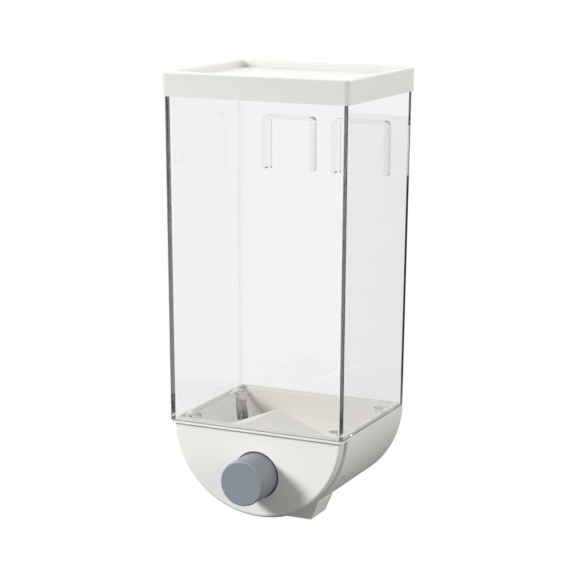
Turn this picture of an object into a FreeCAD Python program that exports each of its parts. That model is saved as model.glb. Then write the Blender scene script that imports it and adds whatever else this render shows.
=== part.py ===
"""Wall-hung press-button cereal dispenser.

Millimetres, +Z up, -Y towards the user, +X to the user's right.
Pieces are modelled about the seat, the middle of the container's lower edge.  They are then moved to the
object's own origin, which is the point on the wall between the two hanging rails.
"""
import FreeCAD, Part
import math
import os

V = FreeCAD.Vector
X_AXIS = V(1, 0, 0)
Y_AXIS = V(0, 1, 0)
Z_AXIS = V(0, 0, 1)
SIDES = (-1, 1)
OVERSHOOT = 5.0                 # how far a cutting tool runs past the face that it cuts
TOUCH = 0.1                     # how much rounded edges on one rib stay apart

# Container
CONTAINER_WIDTH = 100.0         # outside, at the lid's lower edge
CONTAINER_DEPTH = 84.8          # outside, at the lid's lower edge
CONTAINER_HEIGHT = 167.9        # from the seat to the lid's lower edge
CONTAINER_DRAFT = 1.5           # each wall leans in by this much from the lid to the seat
CONTAINER_WALL = 2.2
CONTAINER_CORNER = 1.3          # radius of the upright outer edges
CONTAINER_INNER_CORNER = 0.6
RIM_HEIGHT = 7.0                # stepped rim inside the lid's skirt
RIM_STEP = 0.9

# Hanging rails on the container's back
WALL_GAP = 4.6                  # from the widest part of the container's back to the wall
RAIL_SPACING = 10.4             # clear distance between the two rails
RAIL_WIDTH = 30.4
RAIL_LENGTH = 29.0
RAIL_TOP = 151.2                # above the seat
RAIL_RIB = 2.0
RAIL_CORNER = 3.0
LIP_WIDTH = 1.7
LIP_THICKNESS = 1.5

# Clear screw legs below the container
LEG_RADIUS = 3.0
LEG_SIDE_INSET = 6.8            # from the container's inner side wall
LEG_FRONT_INSET = 10.2          # from the container's inner front wall
LEG_REAR_INSET = 14.2           # from the container's inner back wall
LEG_DROP = 14.0
LEG_BRACKET = 1.5               # height of the bracket that holds the leg
LEG_BORE_DEPTH = 9.0

# Lid and its seal
LID_OVERHANG = 1.1
LID_HEIGHT = 12.5
LID_CORNER = 2.6
LID_EDGE_ROUND = 1.0
LID_BORDER = 3.5
LID_RECESS = 3.8
LID_RECESS_CORNER = 2.0
LID_PLATE = 1.8
LID_FIT = 0.25                  # round the container's rim
LID_RIM_GAP = 0.3               # above the container's rim
PLUG_GAP = 1.2                  # between the plug and the rim, filled by the seal
PLUG_WALL = 1.5
PLUG_BOTTOM = 0.8               # the plug ends this far above the lid's lower edge
PLUG_CORNER = 1.0
SEAL_HEIGHT = 2.8
SEAL_GROOVE = 0.6
SEAL_FIT = 0.1
SEAL_BASE = 0.5
SEAL_LIP = 0.7

# Base housing
FLANGE_THICKNESS = 1.2
FLANGE_INSET = 0.1              # inside the container's lower edge
HOUSING_STEP = 0.3              # the half cylinder's radius past the container's lower half width
HOUSING_AXIS_RISE = 1.4         # the half cylinder's axis above the seat
HOUSING_WALL = 2.0
HOUSING_BACK_INSET = 1.2        # from the container's lower back edge
SNAP_WIDTH = 2.6
SNAP_FIRST_ANGLE = 29.0         # below the horizontal
SNAP_LAST_ANGLE = 42.0
SNAP_FRONT = 10.0               # from the housing's front edge to the front windows' middle
SNAP_REAR = 9.2                 # from the housing's back to the rear windows' middle
SNAP_FIT = 0.3
NUB_SETBACK = 2.0               # from each end of its window, degrees
NUB_RECESS = 1.2                # inside the housing's outer face
BLADE_LENGTH = 17.5             # radial length of a snap blade
BLADE_FIRST_ANGLE = 8.0         # below the horizontal
SPRING_PIN_RADIUS = 2.6
SPRING_PIN_GAP = 4.8            # between the two pins when the button is pressed

# Front panel
PANEL_INSET = 1.95              # behind the container's lower front edge
PANEL_THICKNESS = 4.0
PANEL_SKIN = 2.2
PANEL_RIM = 2.4
PANEL_STEP = 1.5                # smaller than the housing in radius
PANEL_AXIS_RISE = 1.1
PANEL_TOP_GAP = 0.2
PANEL_GROOVE = 0.8
PANEL_EDGE_ROUND = 1.8
PANEL_SPIGOT = 3.0
PANEL_SPIGOT_FIT = 0.5
PANEL_SCREW_INSET = 4.6         # from the housing's inner face to the screws
PANEL_SCREW_ANGLES = (36.0, 72.0)
PANEL_BOSS_RADIUS = 3.0
LUG_RADIUS = 3.4
LUG_THICKNESS = 2.4

# Push button
BUTTON_RADIUS = 11.7
BUTTON_RISE = 23.5              # its axis above the housing's lowest line
BUTTON_PROUD = 17.1             # out of the panel's face
BUTTON_SHELL = 1.8
BUTTON_FACE = 2.3
BUTTON_EDGE_ROUND = 0.8
BUTTON_FIT = 0.3
BUTTON_MOUTH = 0.9              # the hole's front step past the button's radius
BUTTON_MOUTH_DEPTH = 1.6
BUTTON_BOSS_RADIUS = 3.0
SLEEVE_LENGTH = 1.6
SLEEVE_WALL = 1.8
STOP_RADIUS_EXTRA = 1.3
STOP_THICKNESS = 1.8
STOP_GAP = 0.35

# Hopper
SPIGOT_HEIGHT = 1.7             # above the seat, inside the container
SPIGOT_WALL = 1.1
SPIGOT_FIT = 0.25
HOPPER_TOP_DROP = 0.2
HOPPER_LEDGE = 0.95
HOPPER_WALL = 1.6
HOPPER_FRONT_GAP = 0.45
HOPPER_BACK_GAP = 0.4
FUNNEL_ANGLE = 48.0
BACK_WALL_DEPTH = 12.0
THROAT_HALF_WIDTH = 17.4
THROAT_LENGTH = 13.0
THROAT_HEIGHT = 1.3
HOOD_ANGLE = 22.0
HOOD_FALL = 2.0                 # the ridge falls towards the back, degrees
HOOD_HEADROOM = 14.3            # above the button's stop disc
HOOD_WALL = 1.8
HOOD_GAP = 3.4                  # behind the pressed button
LEG_POCKET_FIT = 0.3
LEG_POCKET_WALL = 1.2
LEG_POCKET_FLOOR = 1.8
LEG_POCKET_RUN = 13.0
LEG_POCKET_TURN = 60.0          # direction of the pocket's open run, from the X axis
DECK_THICKNESS = 1.8
GUIDE_WIDTH = 4.0
GUIDE_FRONT = 6.6               # the guides reach this far in front of the chute
GUIDE_REAR = 5.7                # and this far behind it

# Gate
GATE_THICKNESS = 2.0
GATE_GAP = 0.3
GATE_OVERLAP = 1.0
GATE_LUG_THICKNESS = 2.0
GATE_LUG_HALF_WIDTH = 5.0
GUSSET_THICKNESS = 2.0
GUSSET_SPACING = 14.0
GUSSET_LENGTH = 2.6
GUSSET_HEIGHT = 8.0

# Chute
CHUTE_FLANGE = 1.6
CHUTE_WALL = 1.6
CHUTE_TOP_HALF_WIDTH = 23.8
CHUTE_FOOT_HALF_WIDTH = 20.0
CHUTE_TOP_MARGIN = 3.0          # chute outside past the throat, front and back
CHUTE_FOOT_MARGIN = 2.6
CHUTE_DROP = 4.6                # below the housing's lowest line
CHUTE_SHOULDER = 9.0            # height of the tapered foot
CHUTE_REAR_LAND = 4.3           # flange behind the throat
CHUTE_EAR_HALF_GAP = 16.0
CHUTE_HOLE_FIT = 0.4
CHUTE_SCREW_END = 3.0           # from the ends of the guides

# Return spring
SPRING_COIL_RADIUS = 3.6
SPRING_WIRE_RADIUS = 0.5
SPRING_WIRE_FLATS = 16          # the wire's section is a regular polygon
SPRING_TURNS = 7
SPRING_DROP = 4.9               # its axis below the gate
SPRING_END_GAP = 0.1

# Screws
SCREW_RADIUS = 1.25
SCREW_TIP_RADIUS = 0.4
SCREW_BORE_FIT = 0.05
SCREW_HOLE_FIT = 0.3
SCREW_HEAD_RADIUS = 2.3
SCREW_HEAD_HEIGHT = 1.6
SCREW_RECESS_WIDTH = 0.6
SCREW_RECESS_LENGTH = 2.6
SCREW_RECESS_DEPTH = 0.8
LEG_SCREW_GRIP = 5.0
PANEL_SCREW_GRIP = 4.0
CHUTE_SCREW_GRIP = 4.0
BUTTON_SCREW_GRIP = 7.0

# Container outline
HALF_WIDTH = CONTAINER_WIDTH / 2
HALF_DEPTH = CONTAINER_DEPTH / 2
SEAT_HALF_WIDTH = HALF_WIDTH - CONTAINER_DRAFT
SEAT_HALF_DEPTH = HALF_DEPTH - CONTAINER_DRAFT
SEAT_INNER_WIDTH = SEAT_HALF_WIDTH - CONTAINER_WALL
SEAT_INNER_DEPTH = SEAT_HALF_DEPTH - CONTAINER_WALL
WALL_Y = HALF_DEPTH + WALL_GAP
RAIL_MIDDLE_Z = RAIL_TOP - RAIL_LENGTH / 2

# Housing and panel
HOUSING_RADIUS = SEAT_HALF_WIDTH + HOUSING_STEP
HOUSING_BORE = HOUSING_RADIUS - HOUSING_WALL
HOUSING_AXIS_Z = HOUSING_AXIS_RISE
HOUSING_LOW_Z = HOUSING_AXIS_Z - HOUSING_RADIUS
HOUSING_BACK_Y = SEAT_HALF_DEPTH - HOUSING_BACK_INSET
HOUSING_BACK_INNER_Y = HOUSING_BACK_Y - HOUSING_WALL
PANEL_FACE_Y = -SEAT_HALF_DEPTH + PANEL_INSET
PANEL_BACK_Y = PANEL_FACE_Y + PANEL_THICKNESS
HOUSING_FRONT_Y = PANEL_BACK_Y + PANEL_GROOVE
PANEL_RADIUS = HOUSING_RADIUS - PANEL_STEP
PANEL_TOP_Z = -FLANGE_THICKNESS - PANEL_TOP_GAP
PANEL_BOSS_END_Y = PANEL_BACK_Y + PANEL_SPIGOT

# Button and gate
BUTTON_Z = HOUSING_LOW_Z + BUTTON_RISE
BUTTON_FACE_Y = PANEL_FACE_Y - BUTTON_PROUD
SLEEVE_BORE = BUTTON_RADIUS + BUTTON_FIT
SLEEVE_END_Y = PANEL_BACK_Y + SLEEVE_LENGTH
BUTTON_REAR_Y = SLEEVE_END_Y + STOP_GAP
STOP_RADIUS = BUTTON_RADIUS + STOP_RADIUS_EXTRA
STOP_REAR_Y = BUTTON_REAR_Y + STOP_THICKNESS
BUTTON_TRAVEL = THROAT_LENGTH + GATE_OVERLAP

# Hopper
HOPPER_TOP_Z = -HOPPER_TOP_DROP
SPIGOT_HALF_WIDTH = SEAT_INNER_WIDTH - SPIGOT_FIT
SPIGOT_HALF_DEPTH = SEAT_INNER_DEPTH - SPIGOT_FIT
FUNNEL_HALF_WIDTH = SPIGOT_HALF_WIDTH - SPIGOT_WALL - HOPPER_LEDGE
FUNNEL_FRONT_Y = PANEL_BACK_Y + HOPPER_FRONT_GAP + HOPPER_WALL
FUNNEL_BACK_Y = HOUSING_BACK_INNER_Y - HOPPER_BACK_GAP - HOPPER_WALL
FUNNEL_SLOPE = math.tan(math.radians(FUNNEL_ANGLE))
FUNNEL_LOW_Z = HOPPER_TOP_Z - (FUNNEL_HALF_WIDTH - THROAT_HALF_WIDTH) * FUNNEL_SLOPE
THROAT_Z = FUNNEL_LOW_Z - THROAT_HEIGHT
THROAT_FRONT_Y = STOP_REAR_Y + BUTTON_TRAVEL + HOOD_GAP + HOOD_WALL
THROAT_REAR_Y = THROAT_FRONT_Y + THROAT_LENGTH
LEG_X = SEAT_INNER_WIDTH - LEG_SIDE_INSET
LEG_FRONT_Y = -SEAT_INNER_DEPTH + LEG_FRONT_INSET
LEG_REAR_Y = SEAT_INNER_DEPTH - LEG_REAR_INSET
LEG_PLACES = [(side * LEG_X, y) for y in (LEG_FRONT_Y, LEG_REAR_Y) for side in SIDES]

# Gate and chute
GATE_TOP_Z = THROAT_Z - GATE_GAP
GATE_LOW_Z = GATE_TOP_Z - GATE_THICKNESS
WINDOW_REAR_Y = THROAT_FRONT_Y - GATE_OVERLAP
WINDOW_FRONT_Y = WINDOW_REAR_Y - THROAT_LENGTH
GATE_REAR_Y = THROAT_REAR_Y + CHUTE_REAR_LAND + CHUTE_WALL + GATE_LUG_THICKNESS
SPRING_PIN_LENGTH = (HOUSING_BACK_INNER_Y - GATE_REAR_Y - BUTTON_TRAVEL - SPRING_PIN_GAP) / 2
GUIDE_INNER = THROAT_HALF_WIDTH + CHUTE_TOP_MARGIN
GATE_HALF_WIDTH = GUIDE_INNER - GATE_GAP
GUIDE_OUTER = GUIDE_INNER + GUIDE_WIDTH
GUIDE_LOW_Z = GATE_LOW_Z - GATE_GAP
CHUTE_FRONT_Y = THROAT_FRONT_Y - CHUTE_TOP_MARGIN
CHUTE_REAR_Y = THROAT_REAR_Y + CHUTE_TOP_MARGIN
CHUTE_LAND_Y = THROAT_REAR_Y + CHUTE_REAR_LAND
GUIDE_FRONT_Y = CHUTE_FRONT_Y - GUIDE_FRONT
GUIDE_REAR_Y = CHUTE_LAND_Y + GUIDE_REAR
CHUTE_FLANGE_LOW_Z = GUIDE_LOW_Z - CHUTE_FLANGE
CHUTE_FOOT_Z = HOUSING_LOW_Z - CHUTE_DROP
CHUTE_SCREW_X = (GUIDE_INNER + GUIDE_OUTER) / 2
CHUTE_SCREW_PLACES = [
    (side * CHUTE_SCREW_X, y)
    for y in (GUIDE_FRONT_Y + CHUTE_SCREW_END, GUIDE_REAR_Y - CHUTE_SCREW_END)
    for side in SIDES
]
SPRING_Z = GATE_LOW_Z - SPRING_DROP
SCREW_BORE = SCREW_RADIUS + SCREW_BORE_FIT
SCREW_HOLE = SCREW_RADIUS + SCREW_HOLE_FIT

# Lid
LID_LOW_Z = CONTAINER_HEIGHT
RIM_TOP_Z = CONTAINER_HEIGHT + RIM_HEIGHT
RIM_HALF_WIDTH = HALF_WIDTH - RIM_STEP
RIM_HALF_DEPTH = HALF_DEPTH - RIM_STEP
RIM_INNER_WIDTH = HALF_WIDTH - CONTAINER_WALL
RIM_INNER_DEPTH = HALF_DEPTH - CONTAINER_WALL
PLUG_HALF_WIDTH = RIM_INNER_WIDTH - PLUG_GAP
PLUG_HALF_DEPTH = RIM_INNER_DEPTH - PLUG_GAP
LID_UNDERSIDE_Z = LID_LOW_Z + LID_HEIGHT - LID_RECESS - LID_PLATE
SEAL_LOW_Z = (LID_LOW_Z + PLUG_BOTTOM + LID_UNDERSIDE_Z - SEAL_HEIGHT) / 2


# Helpers
def box(x0, x1, y0, y1, z0, z1):
    """Box between two corners."""
    return Part.makeBox(x1 - x0, y1 - y0, z1 - z0, V(x0, y0, z0))


def rod(radius, start, direction, length):
    """Solid cylinder from a point along a direction."""
    return Part.makeCylinder(radius, length, start, direction)


def prism(points, direction):
    """Straight extrusion of a closed polygon."""
    return Part.Face(Part.makePolygon(points + points[:1])).extrude(direction)


def prism_xz(points, y0, y1):
    return prism([V(x, y0, z) for x, z in points], V(0, y1 - y0, 0))


def prism_yz(points, x0, x1):
    return prism([V(x0, y, z) for y, z in points], V(x1 - x0, 0, 0))


def rounded_outline(half_width, half_depth, corner, z):
    """Closed rectangle with round corners in a horizontal plane, centred on the Z axis."""
    edges = []
    turns = ((1, 1, 0), (-1, 1, 90), (-1, -1, 180), (1, -1, 270))
    ends = []
    for sx, sy, start in turns:
        centre = V(sx * (half_width - corner), sy * (half_depth - corner), z)
        arc = Part.makeCircle(corner, centre, Z_AXIS, start, start + 90)
        edges.append(arc)
        ends.append((arc.valueAt(arc.FirstParameter), arc.valueAt(arc.LastParameter)))
    for index, (_, leave) in enumerate(ends):
        arrive = ends[(index + 1) % len(ends)][0]
        edges.append(Part.makeLine(leave, arrive))
    return Part.Wire(Part.__sortEdges__(edges))


def rounded_block(half_width, half_depth, corner, z0, z1):
    face = Part.Face(rounded_outline(half_width, half_depth, corner, z0))
    return face.extrude(V(0, 0, z1 - z0))


def rounded_ring(half_width, half_depth, corner, wall, z0, z1):
    """Rectangular ring with the wall inside the given outline."""
    inner_corner = max(corner - wall, CONTAINER_INNER_CORNER)
    outer = rounded_block(half_width, half_depth, corner, z0, z1)
    return outer.cut(rounded_block(half_width - wall, half_depth - wall, inner_corner, z0, z1))


def tapered_block(low, high, corner, z0, z1):
    """Loft between two round-cornered rectangles, each given as (half width, half depth)."""
    wires = [rounded_outline(*low, corner, z0), rounded_outline(*high, corner, z1)]
    return Part.makeLoft(wires, True, True)


def frustum(low, high, z0, z1):
    """Loft between two rectangles, each given as (half width, front y, back y)."""
    wires = []
    for (half_width, front, back), z in ((low, z0), (high, z1)):
        corners = [V(-half_width, front, z), V(half_width, front, z), V(half_width, back, z)]
        corners.append(V(-half_width, back, z))
        wires.append(Part.makePolygon(corners + corners[:1]))
    return Part.makeLoft(wires, True, True)


def fuse(shapes):
    """One clean solid out of pieces that touch or overlap."""
    return shapes[0].fuse(shapes[1:]).removeSplitter()


def round_edges(shape, radius, wanted):
    """Fillet the edges that the test function picks."""
    return shape.makeFillet(radius, [edge for edge in shape.Edges if wanted(edge)])


def housing_cylinder(radius, y0, y1):
    """Full cylinder about the housing's axis."""
    return rod(radius, V(0, y0, HOUSING_AXIS_Z), Y_AXIS, y1 - y0)


def below(z):
    """Everything under a height."""
    reach = CONTAINER_WIDTH + CONTAINER_DEPTH
    return box(-reach, reach, -reach, reach, z - reach, z)


def housing_point(radius, angle, side):
    """Point at a polar place about the housing's axis, measured down from the horizontal."""
    turn = math.radians(angle)
    return side * radius * math.cos(turn), HOUSING_AXIS_Z - radius * math.sin(turn)


def housing_sector(inner, outer, first, last, side, y0, y1):
    """Part of a ring about the housing's axis between two angles below the horizontal."""
    ring = housing_cylinder(outer, y0, y1).cut(housing_cylinder(inner, y0, y1))
    reach = outer + CONTAINER_WIDTH
    points = [(0, HOUSING_AXIS_Z)]
    points += [housing_point(reach, angle, side) for angle in (first, (first + last) / 2, last)]
    return ring.common(prism_xz(points, y0, y1))


def screw(length):
    """Pan-head screw: the head's bearing face is at z = 0 and the shank points up."""
    shank = rod(SCREW_RADIUS, V(0, 0, 0), Z_AXIS, length - SCREW_RADIUS)
    tip_start = V(0, 0, length - SCREW_RADIUS)
    tip = Part.makeCone(SCREW_RADIUS, SCREW_TIP_RADIUS, SCREW_RADIUS, tip_start, Z_AXIS)
    head = rod(SCREW_HEAD_RADIUS, V(0, 0, -SCREW_HEAD_HEIGHT), Z_AXIS, SCREW_HEAD_HEIGHT)
    middle = -SCREW_HEAD_HEIGHT / 2
    head = round_edges(head, SCREW_HEAD_HEIGHT / 2, lambda edge: edge.BoundBox.ZMax < middle)
    half = SCREW_RECESS_LENGTH / 2
    thin = SCREW_RECESS_WIDTH / 2
    top = -SCREW_HEAD_HEIGHT + SCREW_RECESS_DEPTH
    cross = box(-half, half, -thin, thin, -SCREW_HEAD_HEIGHT, top)
    cross = cross.fuse(box(-thin, thin, -half, half, -SCREW_HEAD_HEIGHT, top))
    return fuse([head, shank, tip]).cut(cross)


def placed_screw(length, place, direction):
    """Screw with its bearing face at a point, pointing along a direction."""
    body = screw(length)
    body.Placement = FreeCAD.Placement(place, FreeCAD.Rotation(Z_AXIS, direction))
    return body


# Container
def rail(side):
    """One n-shaped hanging rail, open at the bottom, with lips at the wall."""
    middle = side * (RAIL_SPACING + RAIL_WIDTH) / 2
    half = RAIL_WIDTH / 2
    low = RAIL_TOP - RAIL_LENGTH
    root_y = SEAT_HALF_DEPTH - CONTAINER_WALL / 2 + CONTAINER_DRAFT * low / CONTAINER_HEIGHT
    outer = box(middle - half, middle + half, root_y, WALL_Y, low, RAIL_TOP)
    outer = round_edges(outer, RAIL_CORNER, lambda edge: is_rail_corner(edge, RAIL_TOP))
    slot_half = half - RAIL_RIB
    slot_top = RAIL_TOP - RAIL_RIB
    slot = box(middle - slot_half, middle + slot_half, root_y, WALL_Y, low, slot_top)
    slot = round_edges(slot, RAIL_CORNER - RAIL_RIB, lambda edge: is_rail_corner(edge, slot_top))
    lips = []
    for leg in SIDES:
        inner = middle + leg * (slot_half - LIP_WIDTH)
        rib = middle + leg * (slot_half + RAIL_RIB / 2)
        lips.append(box(min(inner, rib), max(inner, rib), WALL_Y - LIP_THICKNESS, WALL_Y, low, slot_top))
    body = fuse([outer.cut(slot)] + lips)
    return round_edges(body, RAIL_RIB / 2 - TOUCH, lambda edge: is_rail_foot(edge, low, middle))


def is_rail_corner(edge, top):
    size = edge.BoundBox
    return size.YLength > RAIL_RIB and size.XLength < RAIL_RIB / 2 and size.ZMin > top - RAIL_RIB / 2


def is_rail_foot(edge, low, middle):
    """The outer lower edges of the two legs."""
    size = edge.BoundBox
    reach = abs((size.XMin + size.XMax) / 2 - middle)
    long_enough = size.YLength > RAIL_RIB and size.XLength < RAIL_RIB / 2
    return long_enough and size.ZMax < low + RAIL_RIB / 2 and reach > RAIL_WIDTH / 2 - RAIL_RIB / 2


def leg(x, y):
    """Clear screw leg with its bracket to the side wall."""
    side = 1 if x > 0 else -1
    post = rod(LEG_RADIUS, V(x, y, -LEG_DROP), Z_AXIS, LEG_DROP + LEG_BRACKET)
    wall = side * (SEAT_INNER_WIDTH + CONTAINER_WALL / 2)
    bracket = box(min(x, wall), max(x, wall), y - LEG_RADIUS, y + LEG_RADIUS, 0, LEG_BRACKET)
    bore = rod(SCREW_BORE, V(x, y, -LEG_DROP), Z_AXIS, LEG_BORE_DEPTH)
    return fuse([post, bracket]).cut(bore)


def container():
    low = (SEAT_HALF_WIDTH, SEAT_HALF_DEPTH)
    high = (HALF_WIDTH, HALF_DEPTH)
    outer = tapered_block(low, high, CONTAINER_CORNER, 0, CONTAINER_HEIGHT)
    rim_corner = CONTAINER_CORNER - RIM_STEP
    rim = rounded_block(RIM_HALF_WIDTH, RIM_HALF_DEPTH, rim_corner, CONTAINER_HEIGHT, RIM_TOP_Z)
    low_inner = (SEAT_INNER_WIDTH, SEAT_INNER_DEPTH)
    high_inner = (RIM_INNER_WIDTH, RIM_INNER_DEPTH)
    hollow = tapered_block(low_inner, high_inner, CONTAINER_INNER_CORNER, 0, CONTAINER_HEIGHT)
    mouth = rounded_block(*high_inner, CONTAINER_INNER_CORNER, CONTAINER_HEIGHT, RIM_TOP_Z)
    shell = fuse([outer, rim] + [rail(side) for side in SIDES])
    shell = shell.cut(hollow).cut(mouth)
    return fuse([shell] + [leg(x, y) for x, y in LEG_PLACES])


# Lid
def lid():
    half_width = HALF_WIDTH + LID_OVERHANG
    half_depth = HALF_DEPTH + LID_OVERHANG
    top = LID_LOW_Z + LID_HEIGHT
    floor = top - LID_RECESS
    body = rounded_block(half_width, half_depth, LID_CORNER, LID_LOW_Z, top)
    recess = (half_width - LID_BORDER, half_depth - LID_BORDER)
    body = body.cut(rounded_block(*recess, LID_RECESS_CORNER, floor, top))
    body = round_edges(body, LID_EDGE_ROUND, lambda edge: edge.BoundBox.ZMin > top - LID_EDGE_ROUND / 2)
    skirt = (RIM_HALF_WIDTH + LID_FIT, RIM_HALF_DEPTH + LID_FIT)
    plug = (PLUG_HALF_WIDTH, PLUG_HALF_DEPTH)
    ceiling = RIM_TOP_Z + LID_RIM_GAP
    channel = rounded_block(*skirt, PLUG_CORNER, LID_LOW_Z, ceiling)
    channel = channel.cut(rounded_block(*plug, PLUG_CORNER, LID_LOW_Z + PLUG_BOTTOM, ceiling))
    inner = (PLUG_HALF_WIDTH - PLUG_WALL, PLUG_HALF_DEPTH - PLUG_WALL)
    hollow = rounded_block(*inner, PLUG_CORNER, LID_LOW_Z, LID_UNDERSIDE_Z)
    groove = rounded_ring(*plug, PLUG_CORNER, SEAL_GROOVE, SEAL_LOW_Z, SEAL_LOW_Z + SEAL_HEIGHT)
    return body.cut(channel).cut(hollow).cut(groove)


def lid_seal():
    """Silicone ring with two lips, in the plug's groove."""
    wide = PLUG_HALF_WIDTH + SEAL_BASE
    deep = PLUG_HALF_DEPTH + SEAL_BASE
    wall = SEAL_GROOVE + SEAL_BASE
    pieces = [rounded_ring(wide, deep, PLUG_CORNER, wall, SEAL_LOW_Z, SEAL_LOW_Z + SEAL_HEIGHT)]
    reach = PLUG_GAP - SEAL_FIT
    for z in (SEAL_LOW_Z, SEAL_LOW_Z + SEAL_HEIGHT - SEAL_LIP):
        lip = (PLUG_HALF_WIDTH + reach, PLUG_HALF_DEPTH + reach)
        pieces.append(rounded_ring(*lip, PLUG_CORNER, SEAL_GROOVE + reach, z, z + SEAL_LIP))
    return fuse(pieces)


# Base housing
def snap_places():
    """Middle of each snap window along Y."""
    return (HOUSING_FRONT_Y + SNAP_FRONT, HOUSING_BACK_Y - SNAP_REAR)


def panel_lug(angle, side):
    """Lug inside the housing that a panel screw passes through."""
    x, z = housing_point(HOUSING_BORE - PANEL_SCREW_INSET, angle, side)
    disc = rod(LUG_RADIUS, V(x, PANEL_BOSS_END_Y, z), Y_AXIS, LUG_THICKNESS)
    reach = PANEL_SCREW_INSET + HOUSING_WALL / 2
    arm = box(0, reach, 0, LUG_THICKNESS, -LUG_RADIUS, LUG_RADIUS)
    turn = angle if side > 0 else 180 - angle
    arm.Placement = FreeCAD.Placement(V(x, PANEL_BOSS_END_Y, z), FreeCAD.Rotation(Y_AXIS, turn))
    hole = rod(SCREW_HOLE, V(x, PANEL_BOSS_END_Y, z), Y_AXIS, LUG_THICKNESS)
    inside = housing_cylinder(HOUSING_BORE + HOUSING_WALL / 2, HOUSING_FRONT_Y, HOUSING_BACK_Y)
    return fuse([disc, arm]).common(inside).cut(hole)


def base_housing():
    wide = SEAT_HALF_WIDTH - FLANGE_INSET
    deep = SEAT_HALF_DEPTH - FLANGE_INSET
    flange = rounded_block(wide, deep, CONTAINER_CORNER, -FLANGE_THICKNESS, 0)
    mouth = (SEAT_INNER_WIDTH, SEAT_INNER_DEPTH, CONTAINER_INNER_CORNER)
    bore = housing_cylinder(HOUSING_BORE, HOUSING_FRONT_Y, HOUSING_BACK_INNER_Y)
    shell = housing_cylinder(HOUSING_RADIUS, HOUSING_FRONT_Y, HOUSING_BACK_Y).common(below(0))
    shell = fuse([shell, flange])
    shell = shell.cut(bore.common(below(-FLANGE_THICKNESS)))
    shell = shell.cut(rounded_block(*mouth, -FLANGE_THICKNESS, 0))
    lugs = [panel_lug(angle, side) for angle in PANEL_SCREW_ANGLES for side in SIDES]
    pin_start = V(0, HOUSING_BACK_INNER_Y - SPRING_PIN_LENGTH, SPRING_Z)
    pin = rod(SPRING_PIN_RADIUS, pin_start, Y_AXIS, SPRING_PIN_LENGTH + HOUSING_WALL / 2)
    shell = fuse([shell, pin] + lugs)
    for y in snap_places():
        for side in SIDES:
            window = housing_sector(HOUSING_BORE - HOUSING_WALL, HOUSING_RADIUS + HOUSING_WALL,
                                    SNAP_FIRST_ANGLE, SNAP_LAST_ANGLE, side,
                                    y - SNAP_WIDTH / 2, y + SNAP_WIDTH / 2)
            shell = shell.cut(window)
    hole_half = CHUTE_TOP_HALF_WIDTH + CHUTE_HOLE_FIT
    hole_top = CHUTE_FOOT_Z + CHUTE_DROP + HOUSING_RADIUS / 2
    hole = box(-hole_half, hole_half, CHUTE_FRONT_Y - CHUTE_HOLE_FIT, CHUTE_REAR_Y + CHUTE_HOLE_FIT,
               CHUTE_FOOT_Z, hole_top)
    return shell.cut(hole)


# Front panel
def panel_room(clearance, y0, y1):
    """Cylinder inside the panel's rim and spigot."""
    return rod(PANEL_RADIUS - PANEL_RIM - clearance, V(0, y0, PANEL_AXIS_RISE), Y_AXIS, y1 - y0)


def front_panel():
    plate = rod(PANEL_RADIUS, V(0, PANEL_FACE_Y, PANEL_AXIS_RISE), Y_AXIS, PANEL_THICKNESS)
    plate = plate.common(below(PANEL_TOP_Z))
    plate = round_edges(plate, PANEL_EDGE_ROUND, is_panel_front_edge)
    pocket = panel_room(0, PANEL_FACE_Y + PANEL_SKIN, PANEL_BACK_Y).common(below(PANEL_TOP_Z - PANEL_RIM))
    spigot = housing_cylinder(HOUSING_BORE - PANEL_SPIGOT_FIT, PANEL_FACE_Y + PANEL_SKIN, PANEL_BOSS_END_Y)
    spigot = spigot.cut(panel_room(0, PANEL_FACE_Y, PANEL_BOSS_END_Y))
    spigot = spigot.common(below(PANEL_TOP_Z - PANEL_RIM))
    sleeve_start = V(0, PANEL_FACE_Y + PANEL_SKIN / 2, BUTTON_Z)
    sleeve_length = SLEEVE_END_Y - sleeve_start.y
    sleeve = rod(SLEEVE_BORE + SLEEVE_WALL, sleeve_start, Y_AXIS, sleeve_length)
    bosses = []
    bores = []
    for angle in PANEL_SCREW_ANGLES:
        for side in SIDES:
            x, z = housing_point(HOUSING_BORE - PANEL_SCREW_INSET, angle, side)
            start = V(x, PANEL_FACE_Y + PANEL_SKIN / 2, z)
            bosses.append(rod(PANEL_BOSS_RADIUS, start, Y_AXIS, PANEL_BOSS_END_Y - start.y))
            mouth = V(x, PANEL_BOSS_END_Y, z)
            bores.append(rod(SCREW_BORE, mouth, -Y_AXIS, PANEL_SCREW_GRIP + SCREW_RADIUS))
    body = fuse([plate.cut(pocket), spigot, sleeve] + bosses)
    body = body.cut(rod(SLEEVE_BORE, V(0, PANEL_FACE_Y, BUTTON_Z), Y_AXIS, PANEL_THICKNESS + SLEEVE_LENGTH))
    mouth = rod(BUTTON_RADIUS + BUTTON_MOUTH, V(0, PANEL_FACE_Y, BUTTON_Z), Y_AXIS, BUTTON_MOUTH_DEPTH)
    body = body.cut(mouth)
    for bore in bores:
        body = body.cut(bore)
    return body


def is_panel_front_edge(edge):
    return edge.BoundBox.YMax < PANEL_FACE_Y + PANEL_EDGE_ROUND / 2


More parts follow.
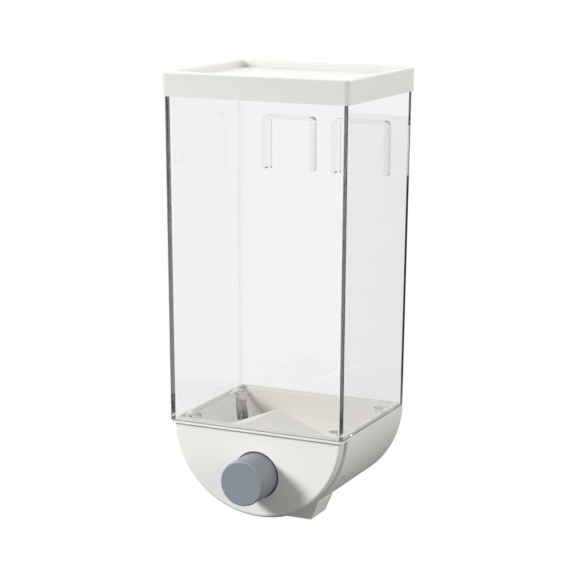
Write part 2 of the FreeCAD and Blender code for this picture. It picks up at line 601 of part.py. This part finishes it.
# Push button
def push_button():
    length = BUTTON_REAR_Y - BUTTON_FACE_Y
    cap = rod(BUTTON_RADIUS, V(0, BUTTON_FACE_Y, BUTTON_Z), Y_AXIS, length)
    front = BUTTON_FACE_Y + BUTTON_SHELL
    cap = round_edges(cap, BUTTON_EDGE_ROUND, lambda edge: edge.BoundBox.YMax < front)
    inner_start = V(0, BUTTON_FACE_Y + BUTTON_FACE, BUTTON_Z)
    hollow = rod(BUTTON_RADIUS - BUTTON_SHELL, inner_start, Y_AXIS, length)
    hollow = hollow.cut(rod(BUTTON_BOSS_RADIUS, inner_start, Y_AXIS, length))
    bore = rod(SCREW_BORE, V(0, BUTTON_REAR_Y, BUTTON_Z), -Y_AXIS, BUTTON_SCREW_GRIP + SCREW_RADIUS)
    return cap.cut(hollow).cut(bore)


# Hopper
def funnel(offset):
    """The funnel's space, or with an offset the space that its shell fills."""
    run = offset / math.sin(math.radians(FUNNEL_ANGLE))
    wide = FUNNEL_HALF_WIDTH + run
    narrow = THROAT_HALF_WIDTH + run
    sides = [(-wide, HOPPER_TOP_Z), (-narrow, FUNNEL_LOW_Z), (-narrow, THROAT_Z),
             (narrow, THROAT_Z), (narrow, FUNNEL_LOW_Z), (wide, HOPPER_TOP_Z)]
    rise = HOPPER_TOP_Z - BACK_WALL_DEPTH - FUNNEL_LOW_Z
    slope = rise / (FUNNEL_BACK_Y - THROAT_REAR_Y)
    drop = offset * math.hypot(1, slope)
    front = FUNNEL_FRONT_Y - offset
    back = FUNNEL_BACK_Y + offset
    rear = THROAT_REAR_Y + offset
    rear_z = FUNNEL_LOW_Z + slope * offset - drop
    back_z = rear_z + slope * (back - rear)
    profile = [(front, HOPPER_TOP_Z), (front, THROAT_Z), (rear, THROAT_Z), (rear, rear_z),
               (back, back_z), (back, HOPPER_TOP_Z)]
    return prism_xz(sides, front, back).common(prism_yz(profile, -wide, wide))


def gable(drop, y0, y1):
    """Gable prism over the button's path, lowered by a drop, falling towards the back."""
    apex = BUTTON_Z + (STOP_RADIUS + HOOD_HEADROOM) / math.cos(math.radians(HOOD_ANGLE)) - drop
    half = FUNNEL_HALF_WIDTH
    eave = apex - half * math.tan(math.radians(HOOD_ANGLE))
    deep = THROAT_Z - HOUSING_RADIUS
    points = [(0, apex), (half, eave), (half, deep), (-half, deep), (-half, eave)]
    roof = prism_xz(points, FUNNEL_FRONT_Y - FUNNEL_HALF_WIDTH, THROAT_FRONT_Y + FUNNEL_HALF_WIDTH)
    roof.rotate(V(0, FUNNEL_FRONT_Y, apex), X_AXIS, -HOOD_FALL)
    reach = FUNNEL_HALF_WIDTH
    return roof.common(box(-reach, reach, y0, y1, THROAT_Z - OVERSHOOT, apex + OVERSHOOT))


def leg_pocket(x, y, radius, z0, z1):
    """Upright slot round a leg that runs inwards to the funnel's slope."""
    turn = math.radians(LEG_POCKET_TURN)
    dx = -math.copysign(math.cos(turn), x) * LEG_POCKET_RUN
    dy = -math.copysign(math.sin(turn), y) * LEG_POCKET_RUN
    side = V(-dy, dx, 0).normalize() * radius
    start = V(x, y, z0)
    end = V(x + dx, y + dy, z0)
    track = prism([start + side, end + side, end - side, start - side], V(0, 0, z1 - z0))
    ends = [rod(radius, point, Z_AXIS, z1 - z0) for point in (start, end)]
    return fuse([track] + ends)


def snap_blade(y, side):
    """Upright blade under the funnel with a nub that snaps into a housing window."""
    half = SNAP_WIDTH / 2 - SNAP_FIT
    outer = HOUSING_BORE - SNAP_FIT
    blade = housing_sector(outer - BLADE_LENGTH, outer, BLADE_FIRST_ANGLE, SNAP_LAST_ANGLE - SNAP_FIT, side,
                           y - half, y + half)
    nub = housing_sector(outer - HOUSING_WALL, HOUSING_RADIUS - NUB_RECESS, SNAP_FIRST_ANGLE + NUB_SETBACK,
                         SNAP_LAST_ANGLE - NUB_SETBACK, side, y - half, y + half)
    return fuse([blade, nub])


def guide_deck():
    """Flat underside round the throat with the gate's two side guides."""
    front = THROAT_FRONT_Y - HOOD_WALL
    pieces = [box(-GUIDE_OUTER, GUIDE_OUTER, front, GUIDE_REAR_Y, THROAT_Z, THROAT_Z + DECK_THICKNESS)]
    for side in SIDES:
        inner = side * GUIDE_INNER
        outer = side * GUIDE_OUTER
        low, high = min(inner, outer), max(inner, outer)
        pieces.append(box(low, high, GUIDE_FRONT_Y, GUIDE_REAR_Y, GUIDE_LOW_Z, THROAT_Z + DECK_THICKNESS))
    return fuse(pieces)


def hopper_room():
    """The room inside the housing behind the front wall, clear of the panel's spigot."""
    step_y = PANEL_BOSS_END_Y + SNAP_FIT
    front = panel_room(SNAP_FIT, FUNNEL_FRONT_Y - HOPPER_WALL, step_y)
    return front.fuse(housing_cylinder(HOUSING_BORE - SNAP_FIT, step_y, FUNNEL_BACK_Y + HOPPER_WALL))


def hopper_outline(wall, z0, z1):
    """Block or, with a wall, ring that fits inside the container's lower opening."""
    size = (SPIGOT_HALF_WIDTH, SPIGOT_HALF_DEPTH, CONTAINER_INNER_CORNER)
    if wall:
        return rounded_ring(*size, wall, z0, z1)
    return rounded_block(*size, z0, z1)


def leg_clearance(x, y, floor_z, top_z):
    """Room for a leg, its bracket and its screw: a slot open to the funnel, and a hole through the floor."""
    gap = LEG_RADIUS + LEG_POCKET_FIT
    slot = leg_pocket(x, y, gap, floor_z, top_z)
    reach = FUNNEL_HALF_WIDTH
    slot = slot.common(box(-reach, reach, FUNNEL_FRONT_Y, FUNNEL_BACK_Y, floor_z, top_z))
    hole = rod(SCREW_HOLE, V(x, y, floor_z - LEG_POCKET_FLOOR), Z_AXIS, LEG_POCKET_FLOOR)
    low, high = sorted((x, math.copysign(SPIGOT_HALF_WIDTH, x)))
    return [slot, hole, box(low, high, y - gap, y + gap, HOPPER_TOP_Z, top_z)]


def hopper():
    room = hopper_room()
    top_z = SPIGOT_HEIGHT + OVERSHOOT
    floor_z = -LEG_DROP - HOPPER_TOP_DROP
    plate = hopper_outline(0, -FLANGE_THICKNESS, HOPPER_TOP_Z)
    spigot = hopper_outline(SPIGOT_WALL, -FLANGE_THICKNESS, SPIGOT_HEIGHT)
    radius = LEG_RADIUS + LEG_POCKET_FIT + LEG_POCKET_WALL
    pockets = []
    for x, y in LEG_PLACES:
        pocket = leg_pocket(x, y, radius, floor_z - LEG_POCKET_FLOOR, HOPPER_TOP_Z)
        pockets.append(pocket.common(room))
    body = fuse([funnel(HOPPER_WALL), plate] + pockets)
    body = body.common(hopper_outline(0, THROAT_Z, SPIGOT_HEIGHT))
    blades = [snap_blade(y, side) for y in snap_places() for side in SIDES]
    body = fuse([body, spigot] + blades)
    roof = gable(0, FUNNEL_FRONT_Y - HOPPER_WALL, THROAT_FRONT_Y)
    reach = FUNNEL_HALF_WIDTH
    mouth = box(-reach, reach, FUNNEL_FRONT_Y, FUNNEL_BACK_Y, HOPPER_TOP_Z, top_z)
    body = body.cut(fuse([funnel(0), mouth]).cut(roof))
    body = fuse([body, roof.cut(below(HOPPER_TOP_Z - HOPPER_WALL))])
    roof_drop = HOOD_WALL / math.cos(math.radians(HOOD_ANGLE))
    void = gable(roof_drop, FUNNEL_FRONT_Y, THROAT_FRONT_Y - HOOD_WALL).cut(fuse(pockets))
    arch = gable(roof_drop, FUNNEL_FRONT_Y - HOPPER_WALL, FUNNEL_FRONT_Y).common(below(-FLANGE_THICKNESS))
    body = body.cut(void).cut(arch)
    body = fuse([body, guide_deck()])
    half = THROAT_HALF_WIDTH
    body = body.cut(box(-half, half, THROAT_FRONT_Y, THROAT_REAR_Y, THROAT_Z, FUNNEL_LOW_Z))
    for x, y in LEG_PLACES:
        body = body.cut(leg_clearance(x, y, floor_z, top_z))
    for x, y in CHUTE_SCREW_PLACES:
        body = body.cut(rod(SCREW_BORE, V(x, y, GUIDE_LOW_Z), Z_AXIS, CHUTE_SCREW_GRIP))
    return body


# Gate
def gate_slider():
    plate = box(-GATE_HALF_WIDTH, GATE_HALF_WIDTH, BUTTON_REAR_Y, GATE_REAR_Y, GATE_LOW_Z, GATE_TOP_Z)
    half = THROAT_HALF_WIDTH
    window = box(-half, half, WINDOW_FRONT_Y, WINDOW_REAR_Y, GATE_LOW_Z, GATE_TOP_Z)
    disc = rod(STOP_RADIUS, V(0, BUTTON_REAR_Y, BUTTON_Z), Y_AXIS, STOP_THICKNESS)
    disc = disc.cut(below(GATE_LOW_Z))
    lug = box(-GATE_LUG_HALF_WIDTH, GATE_LUG_HALF_WIDTH, GATE_REAR_Y - GATE_LUG_THICKNESS, GATE_REAR_Y,
              SPRING_Z - GATE_LUG_HALF_WIDTH, GATE_TOP_Z)
    pin = rod(SPRING_PIN_RADIUS, V(0, GATE_REAR_Y, SPRING_Z), Y_AXIS, SPRING_PIN_LENGTH)
    pieces = [plate.cut(window), disc, lug, pin]
    for side in SIDES:
        x = side * GUSSET_SPACING / 2
        points = [(STOP_REAR_Y, GATE_TOP_Z + GUSSET_HEIGHT), (STOP_REAR_Y, GATE_TOP_Z),
                  (STOP_REAR_Y + GUSSET_LENGTH, GATE_TOP_Z)]
        pieces.append(prism_yz(points, x - GUSSET_THICKNESS / 2, x + GUSSET_THICKNESS / 2))
    body = fuse(pieces)
    return body.cut(rod(SCREW_HOLE, V(0, BUTTON_REAR_Y, BUTTON_Z), Y_AXIS, STOP_THICKNESS))


def return_spring():
    start = GATE_REAR_Y + SPRING_END_GAP + SPRING_WIRE_RADIUS
    end = HOUSING_BACK_INNER_Y - SPRING_END_GAP - SPRING_WIRE_RADIUS
    length = end - start
    helix = Part.makeHelix(length / SPRING_TURNS, length, SPRING_COIL_RADIUS)
    corners = []
    for index in range(SPRING_WIRE_FLATS):
        turn = 2 * math.pi * index / SPRING_WIRE_FLATS
        reach = V(math.cos(turn), 0, math.sin(turn)) * SPRING_WIRE_RADIUS
        corners.append(V(SPRING_COIL_RADIUS, 0, 0) + reach)
    section = Part.makePolygon(corners + corners[:1])
    coil = Part.Wire(helix.Edges).makePipeShell([section], True, True)
    coil.Placement = FreeCAD.Placement(V(0, start, SPRING_Z), FreeCAD.Rotation(Z_AXIS, Y_AXIS))
    return coil


# Chute
def spout_chute():
    flange = box(-GUIDE_OUTER, GUIDE_OUTER, CHUTE_FRONT_Y, CHUTE_LAND_Y, CHUTE_FLANGE_LOW_Z, GUIDE_LOW_Z)
    ears = []
    for side in SIDES:
        low, high = sorted((side * CHUTE_EAR_HALF_GAP, side * GUIDE_OUTER))
        ears.append(box(low, high, GUIDE_FRONT_Y, GUIDE_REAR_Y, CHUTE_FLANGE_LOW_Z, GUIDE_LOW_Z))
    shoulder_z = CHUTE_FOOT_Z + CHUTE_SHOULDER
    top = (CHUTE_TOP_HALF_WIDTH, CHUTE_FRONT_Y, CHUTE_REAR_Y)
    foot = (CHUTE_FOOT_HALF_WIDTH, THROAT_FRONT_Y - CHUTE_FOOT_MARGIN, THROAT_REAR_Y + CHUTE_FOOT_MARGIN)
    walls = [frustum(top, top, shoulder_z, CHUTE_FLANGE_LOW_Z), frustum(foot, top, CHUTE_FOOT_Z, shoulder_z)]
    body = fuse([flange] + ears + walls)
    inner_top = (top[0] - CHUTE_WALL, top[1] + CHUTE_WALL, top[2] - CHUTE_WALL)
    inner_foot = (foot[0] - CHUTE_WALL, foot[1] + CHUTE_WALL, foot[2] - CHUTE_WALL)
    body = body.cut(frustum(inner_top, inner_top, shoulder_z, CHUTE_FLANGE_LOW_Z))
    body = body.cut(frustum(inner_foot, inner_top, CHUTE_FOOT_Z, shoulder_z))
    body = body.cut(box(-THROAT_HALF_WIDTH, THROAT_HALF_WIDTH, THROAT_FRONT_Y, THROAT_REAR_Y,
                        CHUTE_FLANGE_LOW_Z, GUIDE_LOW_Z))
    for x, y in CHUTE_SCREW_PLACES:
        body = body.cut(rod(SCREW_HOLE, V(x, y, CHUTE_FLANGE_LOW_Z), Z_AXIS, CHUTE_FLANGE))
    return body


# Screws
def leg_screws():
    z = -LEG_DROP - HOPPER_TOP_DROP - LEG_POCKET_FLOOR
    return [placed_screw(LEG_SCREW_GRIP, V(x, y, z), Z_AXIS) for x, y in LEG_PLACES]


def panel_screws():
    screws = []
    for angle in PANEL_SCREW_ANGLES:
        for side in SIDES:
            x, z = housing_point(HOUSING_BORE - PANEL_SCREW_INSET, angle, side)
            place = V(x, PANEL_BOSS_END_Y + LUG_THICKNESS, z)
            screws.append(placed_screw(PANEL_SCREW_GRIP + LUG_THICKNESS, place, -Y_AXIS))
    return screws


def spout_screws():
    z = CHUTE_FLANGE_LOW_Z
    return [placed_screw(CHUTE_SCREW_GRIP, V(x, y, z), Z_AXIS) for x, y in CHUTE_SCREW_PLACES]


def button_screw():
    return placed_screw(BUTTON_SCREW_GRIP, V(0, STOP_REAR_Y, BUTTON_Z), -Y_AXIS)


NODES = {
    "container": container,
    "lid": lid,
    "lid_seal": lid_seal,
    "base_housing": base_housing,
    "front_panel": front_panel,
    "push_button": push_button,
    "button_screw": button_screw,
    "gate_slider": gate_slider,
    "return_spring": return_spring,
    "hopper": hopper,
    "spout_chute": spout_chute,
    "leg_screws": leg_screws,
    "panel_screws": panel_screws,
    "spout_screws": spout_screws,
}


def main():
    os.makedirs("parts", exist_ok=True)
    for name, make in NODES.items():
        made = make()
        shape = Part.makeCompound(made) if isinstance(made, list) else made
        shape.translate(V(0, -WALL_Y, -RAIL_MIDDLE_Z))
        size = shape.BoundBox
        print(f"{name:14s} solids {len(shape.Solids)} valid {shape.isValid()} volume {shape.Volume:.1f}")
        print(f"    x {size.XMin:.2f} {size.XMax:.2f} y {size.YMin:.2f} {size.YMax:.2f}", end=" ")
        print(f"z {size.ZMin:.2f} {size.ZMax:.2f}")
        shape.exportStep(f"parts/{name}.step")


main()
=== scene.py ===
"""Looks for the wall-hung press-button cereal dispenser: materials, light, floor and camera.

Every length is in metres, in the CAD model's frame: +Z up, -Y towards the user, the origin on the wall.
"""
import math

import bpy
from mathutils import Matrix, Vector


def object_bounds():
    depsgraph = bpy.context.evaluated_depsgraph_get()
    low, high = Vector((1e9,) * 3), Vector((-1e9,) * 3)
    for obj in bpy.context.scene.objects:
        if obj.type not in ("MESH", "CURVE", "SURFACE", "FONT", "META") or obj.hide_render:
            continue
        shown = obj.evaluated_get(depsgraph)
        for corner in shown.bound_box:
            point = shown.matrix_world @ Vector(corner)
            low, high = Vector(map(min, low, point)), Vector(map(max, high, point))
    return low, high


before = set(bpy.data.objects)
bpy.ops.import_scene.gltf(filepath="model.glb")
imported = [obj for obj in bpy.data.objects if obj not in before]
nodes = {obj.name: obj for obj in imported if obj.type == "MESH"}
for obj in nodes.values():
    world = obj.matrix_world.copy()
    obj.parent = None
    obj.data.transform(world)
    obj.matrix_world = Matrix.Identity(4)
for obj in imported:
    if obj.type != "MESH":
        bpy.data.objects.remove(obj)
cad_low, cad_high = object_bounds()
scene = bpy.context.scene

# Camera
CAMERA_AZIMUTH = 25.04
CAMERA_ELEVATION = 11.47
CAMERA_ROLL = 0.29
CAMERA_DISTANCE = 0.99597
CAMERA_TARGET = Vector((-0.0007, -0.0470, -0.07009))
CAMERA_SENSOR = 36.0
CAMERA_LENS = 119.68

FLOOR_DROP = 0.55
FLOOR_SIZE = 12.0

# Studio brightness: the sky's own, then shares of it by direction
SKY_LIGHT = 1.32
FLOOR_LIGHT = 0.05
RIGHT_LIGHT = 1.40
OVERHEAD_LIGHT = 0.70
FRONT_LIGHT = 0.15
KEY_PLACE = (-0.75, -0.80, 0.36)
KEY_SIZE = 0.30
KEY_POWER = 1.1
KEY_SPREAD = 45.0
KEY_AIM = (0.09, -0.085, -0.21)
RIM_PLACE = (0.95, -0.62, 0.10)
RIM_SIZE = (0.10, 0.9)
RIM_POWER = 3.0
RIM_AIM = (0.0, -0.05, -0.10)
STUDIO_TINT = (1.0, 0.99, 0.975)
MOST_BOUNCES = 32               # light runs a long way inside the clear walls

# Floor paper and plastic
FLOOR_GREY = 0.14
FLOOR_CLOUD = 0.93              # brightness of its darker clouds
GRAIN_DEPTH = 0.00002
GRAIN_SCALE = 2200.0
PLASTIC_WEAR = 0.04             # roughness that a rub mark adds
PLASTIC_IOR = 1.5
RIPPLE_DEPTH = 0.00006
CLEAR_SHADOW = 0.94             # light that passes a clear wall into the shadow behind it
CLEAR_TINT = (0.16, 0.17, 0.17)
CLEAR_DENSITY = 20.0
METAL_SHADE = 0.8               # brightness of a metal's darker clouds

# Rub marks
SCUFF_START = 0.60
SCUFF_FULL = 0.72
SCUFF_TURN = (0.3, 0.2, 0.0)


# Node helpers
def new_material(name):
    material = bpy.data.materials.new(name)
    material.use_nodes = True
    tree = material.node_tree
    tree.nodes.clear()
    return material, tree


def add(tree, kind, **inputs):
    """A node with inputs set by name: a socket is linked, and any other value is stored."""
    node = tree.nodes.new(kind)
    for key, value in inputs.items():
        socket = node.inputs[key.replace("_", " ")]
        if isinstance(value, bpy.types.NodeSocket):
            tree.links.new(value, socket)
        else:
            socket.default_value = value
    return node


def object_coordinates(tree):
    return tree.nodes.new("ShaderNodeTexCoord").outputs["Object"]


def noise(tree, vector, scale, detail=3.0, roughness=0.5):
    node = add(tree, "ShaderNodeTexNoise", Vector=vector, Scale=scale, Detail=detail, Roughness=roughness)
    return node.outputs["Fac"]


def remap(tree, value, low, high):
    """Noise output spread between two values."""
    node = tree.nodes.new("ShaderNodeMapRange")
    node.inputs["From Min"].default_value = 0.3
    node.inputs["From Max"].default_value = 0.7
    node.inputs["To Min"].default_value = low
    node.inputs["To Max"].default_value = high
    tree.links.new(value, node.inputs["Value"])
    return node.outputs["Result"]


def smooth_step(tree, value, start, end, low, high):
    node = tree.nodes.new("ShaderNodeMapRange")
    node.interpolation_type = "SMOOTHSTEP"
    tree.links.new(value, node.inputs["Value"])
    node.inputs["From Min"].default_value = start
    node.inputs["From Max"].default_value = end
    node.inputs["To Min"].default_value = low
    node.inputs["To Max"].default_value = high
    return node.outputs["Result"]


def two_colours(tree, factor, first, second):
    node = tree.nodes.new("ShaderNodeMix")
    node.data_type = "RGBA"
    tree.links.new(factor, node.inputs[0])
    node.inputs[6].default_value = (*first, 1)
    node.inputs[7].default_value = (*second, 1)
    return node.outputs[2]


def scuffs(tree, place, scale, stretch, amount):
    """Sparse fine rub marks, long along one axis, as a value from 0 to an amount."""
    stretched = add(tree, "ShaderNodeMapping", Vector=place, Scale=stretch, Rotation=SCUFF_TURN)
    marks = noise(tree, stretched.outputs["Vector"], scale, 2.0)
    return smooth_step(tree, marks, SCUFF_START, SCUFF_FULL, 0.0, amount)


def total(tree, first, second):
    node = tree.nodes.new("ShaderNodeMath")
    node.operation = "ADD"
    tree.links.new(first, node.inputs[0])
    tree.links.new(second, node.inputs[1])
    return node.outputs[0]


def moulded_plastic(name, colour, shade, roughness):
    """Injection-moulded plastic: cloudy colour, fine spark-eroded grain, uneven gloss and rub marks."""
    material, tree = new_material(name)
    place = object_coordinates(tree)
    cloud = remap(tree, noise(tree, place, 35.0, 4.0), 0.0, 1.0)
    base = two_colours(tree, cloud, colour, tuple(c * shade for c in colour))
    even = remap(tree, noise(tree, place, 420.0, 3.0), roughness - 0.015, roughness + 0.02)
    rough = total(tree, even, scuffs(tree, place, 500.0, (1.0, 1.0, 0.12), PLASTIC_WEAR))
    fine = noise(tree, place, GRAIN_SCALE, 2.0)
    bump = add(tree, "ShaderNodeBump", Height=fine, Strength=0.35, Distance=GRAIN_DEPTH)
    shader = add(tree, "ShaderNodeBsdfPrincipled", Base_Color=base, Roughness=rough,
                 Normal=bump.outputs["Normal"])
    shader.inputs["IOR"].default_value = PLASTIC_IOR
    output = tree.nodes.new("ShaderNodeOutputMaterial")
    tree.links.new(shader.outputs[0], output.inputs["Surface"])
    return material


def clear_plastic(name):
    """Clear styrene with faint flow ripples. Light passes through it to what stands inside."""
    material, tree = new_material(name)
    place = object_coordinates(tree)
    ripple = noise(tree, place, 22.0, 2.0)
    bump = add(tree, "ShaderNodeBump", Height=ripple, Strength=0.25, Distance=RIPPLE_DEPTH)
    even = remap(tree, noise(tree, place, 300.0, 4.0), 0.0, 0.02)
    rough = total(tree, even, scuffs(tree, place, 600.0, (1.0, 1.0, 0.08), 0.05))
    glass = add(tree, "ShaderNodeBsdfPrincipled", Roughness=rough, Normal=bump.outputs["Normal"])
    glass.inputs["Base Color"].default_value = (1, 1, 1, 1)
    glass.inputs["IOR"].default_value = PLASTIC_IOR
    glass.inputs["Transmission Weight"].default_value = 1.0
    path = tree.nodes.new("ShaderNodeLightPath")
    passes = tree.nodes.new("ShaderNodeMath")
    passes.operation = "MAXIMUM"
    tree.links.new(path.outputs["Is Shadow Ray"], passes.inputs[0])
    tree.links.new(path.outputs["Is Diffuse Ray"], passes.inputs[1])
    through = tree.nodes.new("ShaderNodeBsdfTransparent")
    through.inputs[0].default_value = (CLEAR_SHADOW, CLEAR_SHADOW, CLEAR_SHADOW, 1)
    mix = tree.nodes.new("ShaderNodeMixShader")
    tree.links.new(passes.outputs[0], mix.inputs[0])
    tree.links.new(glass.outputs[0], mix.inputs[1])
    tree.links.new(through.outputs[0], mix.inputs[2])
    inside = tree.nodes.new("ShaderNodeVolumeAbsorption")
    inside.inputs["Color"].default_value = (*CLEAR_TINT, 1)
    inside.inputs["Density"].default_value = CLEAR_DENSITY
    output = tree.nodes.new("ShaderNodeOutputMaterial")
    tree.links.new(mix.outputs[0], output.inputs["Surface"])
    tree.links.new(inside.outputs[0], output.inputs["Volume"])
    return material


def metal(name, colour, roughness):
    material, tree = new_material(name)
    place = object_coordinates(tree)
    rough = remap(tree, noise(tree, place, 900.0, 4.0), roughness - 0.08, roughness + 0.1)
    cloud = remap(tree, noise(tree, place, 500.0), 0.0, 1.0)
    base = two_colours(tree, cloud, colour, tuple(c * METAL_SHADE for c in colour))
    shader = add(tree, "ShaderNodeBsdfPrincipled", Base_Color=base, Roughness=rough)
    shader.inputs["Metallic"].default_value = 1.0
    output = tree.nodes.new("ShaderNodeOutputMaterial")
    tree.links.new(shader.outputs[0], output.inputs["Surface"])
    return material


OFF_WHITE = (0.795, 0.79, 0.757)
HOPPER_WHITE = (0.70, 0.69, 0.65)
GREY = (0.225, 0.255, 0.285)
NATURAL = (0.74, 0.74, 0.71)
SEAL_GREY = (0.62, 0.63, 0.62)

white = moulded_plastic("white_plastic", OFF_WHITE, 0.985, 0.30)
hopper_white = moulded_plastic("hopper_plastic", HOPPER_WHITE, 0.97, 0.40)
grey = moulded_plastic("grey_plastic", GREY, 0.95, 0.42)
natural = moulded_plastic("gate_plastic", NATURAL, 0.95, 0.45)
rubber = moulded_plastic("seal_rubber", SEAL_GREY, 0.94, 0.55)
clear = clear_plastic("clear_plastic")
screw_steel = metal("screw_steel", (0.60, 0.60, 0.60), 0.30)
spring_steel = metal("spring_steel", (0.50, 0.50, 0.51), 0.25)

FINISHES = {
    "container": clear, "lid": white, "lid_seal": rubber, "base_housing": white, "front_panel": white,
    "push_button": grey, "button_screw": screw_steel, "gate_slider": natural, "return_spring": spring_steel,
    "hopper": hopper_white, "spout_chute": white, "leg_screws": screw_steel, "panel_screws": screw_steel,
    "spout_screws": screw_steel,
}
for name, material in FINISHES.items():
    node = nodes[name]
    node.data.materials.clear()
    node.data.materials.append(material)


# Light
def backdrop_share(tree):
    """1 where a ray sees the lit backdrop, straight or through clear plastic, and 0 where it lights."""
    path = tree.nodes.new("ShaderNodeLightPath")
    either = tree.nodes.new("ShaderNodeMath")
    either.operation = "MAXIMUM"
    tree.links.new(path.outputs["Is Camera Ray"], either.inputs[0])
    tree.links.new(path.outputs["Is Transmission Ray"], either.inputs[1])
    return either.outputs[0]


def product(tree, *values):
    result = values[0]
    for value in values[1:]:
        node = tree.nodes.new("ShaderNodeMath")
        node.operation = "MULTIPLY"
        tree.links.new(result, node.inputs[0])
        tree.links.new(value, node.inputs[1])
        result = node.outputs[0]
    return result


def make_world():
    """A soft studio: brighter high up and to the right, dimmer straight above, below and in front."""
    world = bpy.data.worlds.new("studio")
    scene.world = world
    world.use_nodes = True
    tree = world.node_tree
    tree.nodes.clear()
    split = tree.nodes.new("ShaderNodeSeparateXYZ")
    tree.links.new(tree.nodes.new("ShaderNodeTexCoord").outputs["Generated"], split.inputs[0])
    height = smooth_step(tree, split.outputs["Z"], -0.7, 0.6, FLOOR_LIGHT * SKY_LIGHT, SKY_LIGHT)
    side = smooth_step(tree, split.outputs["X"], -0.9, 0.9, 1.0, RIGHT_LIGHT)
    depth = smooth_step(tree, split.outputs["Y"], -0.9, 0.3, FRONT_LIGHT, 1.0)
    overhead = smooth_step(tree, split.outputs["Z"], 0.5, 0.9, 1.0, OVERHEAD_LIGHT)
    strength = product(tree, height, side, depth, overhead)
    lighting = add(tree, "ShaderNodeBackground", Color=(*STUDIO_TINT, 1), Strength=strength)
    backdrop = add(tree, "ShaderNodeBackground", Color=(1, 1, 1, 1), Strength=1.0)
    mix = tree.nodes.new("ShaderNodeMixShader")
    tree.links.new(backdrop_share(tree), mix.inputs[0])
    tree.links.new(lighting.outputs[0], mix.inputs[1])
    tree.links.new(backdrop.outputs[0], mix.inputs[2])
    output = tree.nodes.new("ShaderNodeOutputWorld")
    tree.links.new(mix.outputs[0], output.inputs["Surface"])


def area_light(name, place, aim, size, power):
    data = bpy.data.lights.new(name, "AREA")
    data.shape = "RECTANGLE"
    data.size, data.size_y = size
    data.energy = power
    light = bpy.data.objects.new(name, data)
    light.location = place
    light.rotation_mode = "QUATERNION"
    light.rotation_quaternion = (Vector(aim) - Vector(place)).to_track_quat("-Z", "Y")
    scene.collection.objects.link(light)
    return light


# Floor
def make_floor():
    mesh = bpy.data.meshes.new("floor")
    half = FLOOR_SIZE / 2
    z = cad_low.z - FLOOR_DROP
    corners = [(-half, -half, z), (half, -half, z), (half, half, z), (-half, half, z)]
    mesh.from_pydata(corners, [], [(0, 1, 2, 3)])
    floor = bpy.data.objects.new("floor", mesh)
    scene.collection.objects.link(floor)
    material, tree = new_material("floor_paper")
    tint = remap(tree, noise(tree, object_coordinates(tree), 6.0), 0.0, 1.0)
    light_grey = (FLOOR_GREY,) * 3
    dark_grey = (FLOOR_GREY * FLOOR_CLOUD,) * 3
    base = two_colours(tree, tint, light_grey, dark_grey)
    paper = add(tree, "ShaderNodeBsdfPrincipled", Base_Color=base, Roughness=0.9)
    lit = add(tree, "ShaderNodeEmission", Color=(1, 1, 1, 1), Strength=1.0)
    mix = tree.nodes.new("ShaderNodeMixShader")
    tree.links.new(backdrop_share(tree), mix.inputs[0])
    tree.links.new(paper.outputs[0], mix.inputs[1])
    tree.links.new(lit.outputs[0], mix.inputs[2])
    output = tree.nodes.new("ShaderNodeOutputMaterial")
    tree.links.new(mix.outputs[0], output.inputs["Surface"])
    mesh.materials.append(material)


make_floor()
make_world()
key = area_light("key", KEY_PLACE, KEY_AIM, (KEY_SIZE, KEY_SIZE), KEY_POWER)
key.data.spread = math.radians(KEY_SPREAD)
area_light("rim", RIM_PLACE, RIM_AIM, RIM_SIZE, RIM_POWER)


# Camera
def make_camera():
    azimuth = math.radians(CAMERA_AZIMUTH)
    elevation = math.radians(CAMERA_ELEVATION)
    roll = math.radians(CAMERA_ROLL)
    back = Vector((math.sin(azimuth) * math.cos(elevation), -math.cos(azimuth) * math.cos(elevation),
                   math.sin(elevation)))
    right = Vector((math.cos(azimuth), math.sin(azimuth), 0))
    up = back.cross(right)
    turned_right = right * math.cos(roll) + up * math.sin(roll)
    turned_up = up * math.cos(roll) - right * math.sin(roll)
    data = bpy.data.cameras.new("camera")
    data.sensor_width = CAMERA_SENSOR
    data.lens = CAMERA_LENS
    data.clip_start = 0.05
    data.clip_end = 50.0
    camera = bpy.data.objects.new("camera", data)
    scene.collection.objects.link(camera)
    place = CAMERA_TARGET + back * CAMERA_DISTANCE
    turn = Matrix((turned_right, turned_up, back)).transposed()
    camera.matrix_world = Matrix.Translation(place) @ turn.to_4x4()
    scene.camera = camera


make_camera()
scene.view_settings.view_transform = "Standard"
scene.cycles.max_bounces = MOST_BOUNCES
scene.cycles.glossy_bounces = MOST_BOUNCES
scene.cycles.transmission_bounces = MOST_BOUNCES
